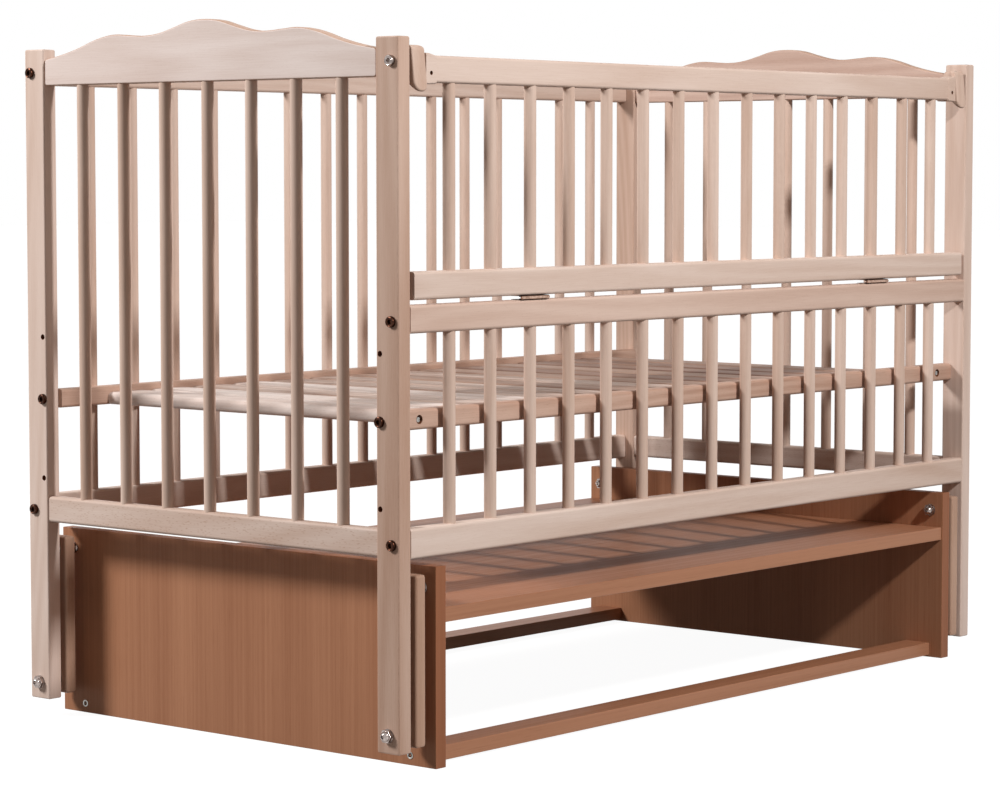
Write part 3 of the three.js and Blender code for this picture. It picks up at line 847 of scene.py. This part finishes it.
def make_rail_bolts():
    head = bolt_head(*RAIL_BOLT_HEAD)
    for side, end, name in CORNERS:
        spots = [("low", RAIL_BOLT_IN, LOW_RAIL_MID), ("base", LEVEL_IN, BASE_MID)]
        if side == FRONT:
            spots.append(("mid", RAIL_BOLT_IN, MID_RAIL_MID - MID_BOLT_DROP))
        else:
            spots.append(("top", RAIL_BOLT_IN, BACK_TOP_MID))
        for level, inward, z in spots:
            seat = outward(end, in_x(end, 0), in_y(side, inward), z)
            # The heads are painted dark: painted dark reflection.
            place(f"rail_bolt_{level}_{name}", copied(head, seat), [SHADE_AND_REFLECTION_METAL], f"post_{name}",
                  stands_for=False)
    head.free()


def make_flag_bolts():
    head = bolt_head(*FLAG_BOLT_HEAD)
    for end, name in ENDS:
        low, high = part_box(f"flag_bolt_{name}")
        tip = min(abs(low.x), abs(high.x))
        cap = copied(head, outward(end, in_x(end, -PLAY), *FLAG_PIVOT))
        a, b = sorted((end * tip, in_x(end, -SHANK_OUT)))
        shank = rod("x", FLAG_PIVOT, FLAG_BOLT_R, a, b)
        place(f"flag_screw_{name}", joined([cap, shank]), [CHROME], f"flag_bolt_{name}")
    head.free()


# Outlines along X: distance from the seat, and radius.
ACORN = [
    (0.0046, 0), (0.0046, 0.0062), (0.0062, 0.006), (0.0078, 0.0053), (0.0092, 0.004),
    (0.0098, 0.0031), (0.0096, 0.0024), (0.0078, 0.0021), (0.0074, 0),
]
NUT_FLANGE = [(0, 0), (0, 0.0085), (0.0007, 0.0085), (0.0007, 0)]
NUT_HEX_R = 0.0086
NUT_HEX = (0.0004, 0.0052)
NUT_HEX_EASE = 0.0005
PAN_HEAD = [
    (0, 0), (0, 0.008), (0.0009, 0.008), (0.002, 0.0074), (0.0032, 0.006), (0.004, 0.0038),
    (0.0043, 0.0018), (0.0044, 0),
]
WASHER_R = 0.008
WASHER_T = 0.0018
WASHER_EDGE = 0.0002
SLEEVE_R = 0.0068
PIVOT_R = 0.004
INTO_HEAD = 0.002
INTO_NUT = 0.006
# How far inside the outer face of an end these faces lie.
LINK_OUTER = 0.03
LINK_INNER = 0.047
PANEL_OUTER = 0.06
PANEL_INNER = 0.078


def acorn_nut():
    """A domed nut standing on X = 0."""
    dome = turned(ACORN, 32)
    hexagon = rod("x", (0, 0), NUT_HEX_R, *NUT_HEX, 6)
    soften(hexagon, hexagon.edges[:], NUT_HEX_EASE)
    return joined([dome, hexagon, turned(NUT_FLANGE, 32)])


def washer(radius, thick):
    """A flat washer or a sleeve standing on X = 0."""
    return turned([
        (0, 0), (0, radius - WASHER_EDGE), (WASHER_EDGE, radius), (thick - WASHER_EDGE, radius),
        (thick, radius - WASHER_EDGE), (thick, 0)], 40)


def pivot_bolt(end, y, z, nut, head, spacer):
    """A swing bolt; its nut, head and spacer are given by how deep in the end they seat."""
    nut_out = 1 if nut < head else -1
    a, b = sorted((
        in_x(end, nut - nut_out * INTO_NUT),
        in_x(end, head + nut_out * INTO_HEAD)))
    start, stop = (spacer[0] + PLAY, spacer[1] - PLAY)
    sleeve = stop - start - 2 * WASHER_T
    seats = [
        (acorn_nut(), nut_out, nut - nut_out * PLAY),
        (washer(WASHER_R, WASHER_T), -1, start),
        (washer(SLEEVE_R, sleeve), -1, start + WASHER_T),
        (washer(WASHER_R, WASHER_T), -1, start + WASHER_T + sleeve),
        (turned(PAN_HEAD, 40), -nut_out, head + nut_out * PLAY),
    ]
    parts = [moved(part, outward(end * way, in_x(end, inward), y, z))
             for part, way, inward in seats]
    return joined(parts + [rod("x", (y, z), PIVOT_R, a, b, 24)])


def make_pivots():
    for side, end, name in CORNERS:
        y = in_y(side, PIVOT_IN)
        low_bolt = pivot_bolt(
            end, y, PIVOT_LOW_Z, nut=0, head=LINK_INNER, spacer=(POST_T, LINK_OUTER))
        place(f"low_swing_bolt_{name}", low_bolt, [CHROME], f"pivot_low_{name}")
        high_bolt = pivot_bolt(
            end, y, PIVOT_HIGH_Z, nut=PANEL_INNER, head=LINK_OUTER,
            spacer=(LINK_INNER, PANEL_OUTER))
        place(f"high_swing_bolt_{name}", high_bolt, [CHROME], f"pivot_high_{name}")


HINGE_LEFT = 0.001  # both hinges sit so far left of their solids' middle
HINGE_PIN_IN = 0.0024
HINGE_PIN_Z = LIFT + 0.5237
HINGE_PIN_R = 0.0011
HINGE_PIN_OUT = 0.0006
HINGE_BORE_R = 0.0014
HINGE_BORE_OUT = 0.002
KNUCKLE_R = 0.0018
KNUCKLE_EASE = 0.0003
KNUCKLE_GAP = 0.0004
HINGE_HALF = 0.026
GATE_KNUCKLE_HALF = 0.012
ROOT_T = 0.0014  # the leaf is thicker where it rolls into the knuckle
ROOT_DEEP = 0.0038
ROOT_CORNER = 0.0002
LEAF_T = 0.0005
LEAF_IN = 0.0028
LEAF_CORNER = 0.0001


def knuckle(y, start, stop):
    """One rolled part of a hinge, with eased ends."""
    roll = rod("x", (y, HINGE_PIN_Z), KNUCKLE_R, start, stop, 24)
    soften(roll, edges_at(roll, "x", start) + edges_at(roll, "x", stop), KNUCKLE_EASE)
    return roll


def make_fixed_half(name):
    """The hinge half on the middle rail: two knuckles, their roots, the pin and the leaf."""
    low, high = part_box(f"hinge_fixed_{name}")
    x = (low.x + high.x) / 2 - HINGE_LEFT
    y = low.y + HINGE_PIN_IN
    inner = GATE_KNUCKLE_HALF + KNUCKLE_GAP
    parts = []
    for start, stop in ((x - HINGE_HALF, x - inner), (x + inner, x + HINGE_HALF)):
        parts.append(knuckle(y, start, stop))
        root_high = (stop, y + ROOT_DEEP, low.z + ROOT_T)
        parts.append(board("x", (start, y, low.z), root_high, ROOT_CORNER, 0))
    pin_reach = HINGE_HALF + HINGE_PIN_OUT
    parts.append(rod("x", (y, HINGE_PIN_Z), HINGE_PIN_R, x - pin_reach, x + pin_reach, 20))
    leaf_low = (x - HINGE_HALF, y + LEAF_IN, low.z)
    leaf_high = (x + HINGE_HALF, high.y, low.z + LEAF_T)
    parts.append(board("x", leaf_low, leaf_high, LEAF_CORNER, 0))
    # The roots and leaf in the dark metal: painted shade along the knuckles.
    place(f"hinge_rail_half_{name}", joined(parts, [0, 1, 0, 1, 0, 1]), [HINGE, SHADE_AND_REFLECTION_METAL],
          f"hinge_fixed_{name}")
    return x, y


def make_gate_half(name, x, y):
    """The hinge half on the gate: one knuckle round the pin, its root and the leaf."""
    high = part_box(f"hinge_gate_{name}")[1]
    start = x - GATE_KNUCKLE_HALF
    stop = x + GATE_KNUCKLE_HALF
    bore_start = start - HINGE_BORE_OUT
    bore_stop = stop + HINGE_BORE_OUT
    bore = rod("x", (y, HINGE_PIN_Z), HINGE_BORE_R, bore_start, bore_stop, 20)
    roll = cut(knuckle(y, start, stop), [bore])
    root_low = (x - HINGE_HALF, y, high.z - ROOT_T)
    root = board("x", root_low, (x + HINGE_HALF, y + ROOT_DEEP, high.z), ROOT_CORNER, 0)
    leaf_low = (x - HINGE_HALF, y + LEAF_IN, high.z - LEAF_T)
    leaf = board("x", leaf_low, (x + HINGE_HALF, high.y, high.z), LEAF_CORNER, 0)
    # The root and leaf in the dark metal: painted shade along the knuckle.
    place(f"hinge_gate_half_{name}", joined([roll, root, leaf], [0, 1, 1]), [HINGE, SHADE_AND_REFLECTION_METAL],
          f"hinge_gate_{name}")


def make_hinges():
    for _, name in ENDS:
        x, y = make_fixed_half(name)
        make_gate_half(name, x, y)


# Mattress base

# Which copy each slat gets, mostly darker towards the right: painted shade.
SLAT_SHADE_STEPS = [0, 0, 1, 0, 1, 1, 2, 1, 2, 3, 2, 3, 3, 2]
SLAT_CORNER = 0.0072
SLAT_EASE = 0.0008
NUT_IN = POST_T + 0.0378
NUT_HOLE_R = 0.0055
NUT_HOLE_DEPTH = 0.01
NUT_R = 0.003
NUT_LEFT = 0.0024  # the nut lies so far left of its hole's middle
NUT_OUT = 0.0004
NUT_DEPTH = 0.0115
NUT_SLOT_IN = 0.0008
NUT_SLOT_OUT = 0.001
NUT_SLOT_HALF_L = 0.0035
NUT_SLOT_HALF_W = 0.0006


def cross_nut(x, face, side):
    """A slotted barrel nut that lies in its hole in a base bar."""
    outer = face + side * NUT_OUT
    a, b = sorted((outer, face - side * NUT_DEPTH))
    barrel = rod("y", (x - NUT_LEFT, BASE_MID), NUT_R, a, b, 24)
    a, b = sorted((outer - side * NUT_SLOT_IN, outer + side * NUT_SLOT_OUT))
    slot_low = (x - NUT_SLOT_HALF_L, a, BASE_MID - NUT_SLOT_HALF_W)
    slot_high = (x + NUT_SLOT_HALF_L, b, BASE_MID + NUT_SLOT_HALF_W)
    return cut(barrel, [board("x", slot_low, slot_high, 0.0001, 0)])


def make_base_bars():
    for side, name in SIDES:
        node = f"base_bar_{name}"
        low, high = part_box(node)
        face = low.y if side == FRONT else high.y
        hole_start, hole_end = sorted((face + side * OVERRUN, face - side * NUT_HOLE_DEPTH))
        drills = []
        for end, e in ENDS:
            x = in_x(end, NUT_IN)
            drills.append(rod("y", (x, BASE_MID), NUT_HOLE_R, hole_start, hole_end, 24))
            place(f"cross_nut_{name}_{e}", cross_nut(x, face, side), [STEEL], node,
                  stands_for=False)
        body = cut(board("x", low, high, RAIL_CORNER, RAIL_EASE), drills)
        # Painted shade inside the nut holes.
        for end, _ in ENDS:
            paint_hole_shade(body, "y", (in_x(end, NUT_IN), BASE_MID), NUT_HOLE_R)
        place(f"base_long_bar_{name}", body, [BASE, HOLE_SHADE_BEECH], node)


def make_slats():
    for n, look in enumerate(SLAT_SHADE_STEPS, 1):
        low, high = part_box(f"slat_{n:02d}")
        slat = board("y", low, high, SLAT_CORNER, SLAT_EASE, 6)
        place(f"base_slat_{n:02d}", slat, [SLAT_BEECH_LIT_TO_SHADED[look]], f"slat_{n:02d}")


# Stand

LAMINATE_CORNER = 0.0008
PANEL_EASE = 0.0008
SHELF_EASE = 0.0006
PANEL_SCREW_Y = 0.282
PANEL_SCREW_Z = 0.012
SCREW_RING = [
    (0, 0.0026), (0, 0.0046), (0.0005, 0.0045), (0.0008, 0.0042), (0.0008, 0.0032),
    (0.0004, 0.0027), (0, 0.0026),
]
SCREW_HEAD = [(-0.001, 0), (-0.001, 0.0027), (0.0001, 0.0027), (0.0003, 0.0022), (0.0003, 0)]
SCREW_SOCKET_R = 0.0015
SCREW_SOCKET = (-0.0004, 0.0015)


def laminate_board(axis, low, high, ease, broad):
    """A laminate board with the edge band on all but its two broad faces, across an axis."""
    shape = board(axis, low, high, LAMINATE_CORNER, ease, 2)
    k = "xyz".index(broad)
    for face in shape.faces:
        face.material_index = 0 if abs(face.normal[k]) > 0.5 else 1
    return shape


def make_panel_screws(end, name, face):
    """Two screws in thin rings, low in the outer face of a panel."""
    for side, s in SIDES:
        seat = outward(end, face, side * PANEL_SCREW_Y, PANEL_SCREW_Z)
        ring = turned(SCREW_RING, 40)
        place(f"panel_screw_ring_{s}_{name}", moved(ring, seat), [STEEL], f"panel_{name}",
              stands_for=False)
        head = cut(turned(SCREW_HEAD, 32), [rod("x", (0, 0), SCREW_SOCKET_R, *SCREW_SOCKET, 6)])
        # The head is painted dark inside its light ring: painted shade in the socket.
        place(f"panel_screw_{s}_{name}", moved(head, seat), [SCREW], f"panel_{name}",
              stands_for=False)


def make_stand():
    for end, name in ENDS:
        low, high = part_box(f"panel_{name}")
        panel = laminate_board("z", low, high, PANEL_EASE, "x")
        drills = [
            rod("x", (in_y(side, PIVOT_IN), PIVOT_HIGH_Z), PIVOT_BORE_R,
                low.x - OVERRUN, high.x + OVERRUN, 24)
            for side, _ in SIDES]
        place(f"end_panel_{name}", cut(panel, drills), [PANEL, PANEL_BAND], f"panel_{name}")
        make_panel_screws(end, name, end * max(abs(low.x), abs(high.x)))
    low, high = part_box("shelf")
    shelf = laminate_board("x", low, high, SHELF_EASE, "z")
    place("shelf_board", shelf, [SHELF, SHELF_BAND], "shelf")
    for _, name in SIDES:
        low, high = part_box(f"stretcher_{name}")
        floor_board = laminate_board("x", low, high, SHELF_EASE, "z")
        place(f"floor_board_{name}", floor_board, [SHELF, SHELF_BAND], f"stretcher_{name}")


LINK_CORNER = 0.0035


def make_links():
    for side, _, name in CORNERS:
        low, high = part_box(f"link_{name}")
        y = in_y(side, PIVOT_IN)
        bores = [rod("x", (y, z), PIVOT_BORE_R, low.x - OVERRUN, high.x + OVERRUN, 24)
                 for z in (PIVOT_LOW_Z, PIVOT_HIGH_Z)]
        body = board("z", low, high, LINK_CORNER, LINK_CORNER)
        place(f"swing_link_{name}", cut(body, bores), [LINKS], f"link_{name}")


make_posts()
make_long_sides()
make_ends()
make_gate()
make_flags()
make_rail_bolts()
make_flag_bolts()
make_pivots()
make_hinges()
make_base_bars()
make_slats()
make_stand()
make_links()


# Floor, light and camera

FLOOR_SIZE = 30
FLOOR_GLOW = 0.95  # shows to the eye and in reflections, and lights nothing
AMBIENT = 0.22  # the backdrop's strength as a light; the eye sees it at full strength
CAMERA_AT = (-3.2689, -2.7067, 0.6943)
CAMERA_DOWN = math.radians(4.027)
CAMERA_TURN = math.radians(-49.837)
CAMERA_LENS = 112.13


def seen_share(tree):
    """1 for rays that show a surface, straight, mirrored or through glass, and 0 for others."""
    rays = step(tree, "ShaderNodeLightPath").outputs
    seen = sums(tree, "MAXIMUM", rays["Is Camera Ray"], rays["Is Glossy Ray"])
    return sums(tree, "MAXIMUM", seen, rays["Is Transmission Ray"])


def make_floor():
    shape = bmesh.new()
    bmesh.ops.create_grid(shape, x_segments=1, y_segments=1, size=FLOOR_SIZE)
    floor = as_object("floor", shape)
    look = bpy.data.materials.new("studio floor")
    look.use_nodes = True
    tree = look.node_tree
    tree.nodes.clear()
    glow = sums(tree, "MULTIPLY", seen_share(tree), FLOOR_GLOW)
    main = step(tree, "ShaderNodeBsdfPrincipled", {
        "Base Color": (0.13, 0.128, 0.126, 1), "Roughness": 0.9, "Specular IOR Level": 0.1,
        "Emission Color": (1, 1, 1, 1), "Emission Strength": glow})
    end = step(tree, "ShaderNodeOutputMaterial")
    tree.links.new(main.outputs["BSDF"], end.inputs["Surface"])
    floor.data.materials.append(look)


def make_world():
    world = bpy.data.worlds.new("studio")
    world.use_nodes = True
    tree = world.node_tree
    tree.nodes.clear()
    seen = seen_share(tree)
    light = sums(tree, "MULTIPLY_ADD", seen, 1 - AMBIENT, AMBIENT)
    tint = blend_colour(tree, seen, (1, 0.88, 0.8, 1), (1, 1, 1, 1))
    back = step(tree, "ShaderNodeBackground", {"Color": tint, "Strength": light})
    end = step(tree, "ShaderNodeOutputWorld")
    tree.links.new(back.outputs["Background"], end.inputs["Surface"])
    bpy.context.scene.world = world


def soft_box(name, where, towards, size, power):
    """A square studio light."""
    lamp = bpy.data.lights.new(name, "AREA")
    lamp.shape = "SQUARE"
    lamp.size = size
    lamp.energy = power
    held = bpy.data.objects.new(name, lamp)
    held.location = where
    held.rotation_euler = (Vector(towards) - Vector(where)).to_track_quat("-Z", "Y").to_euler()
    bpy.context.scene.collection.objects.link(held)


def make_camera():
    """The photo's camera, as fitted to the crib's corners."""
    lens = bpy.data.cameras.new("photo view")
    lens.sensor_width = 36
    lens.lens = CAMERA_LENS
    lens.clip_end = 200
    held = bpy.data.objects.new("photo view", lens)
    held.location = CAMERA_AT
    held.rotation_euler = (math.radians(90) - CAMERA_DOWN, 0, CAMERA_TURN)
    bpy.context.scene.collection.objects.link(held)
    bpy.context.scene.camera = held


make_floor()
make_world()
soft_box("front light", (-0.36, -2.95, 2.3), (0, -0.2, 0.4), size=0.22, power=92)
soft_box("left light", (-2.9, 2.1, 2.55), (-0.4, 0, 0.4), size=0.82, power=142)
make_camera()
bpy.context.scene.view_settings.view_transform = "Standard"
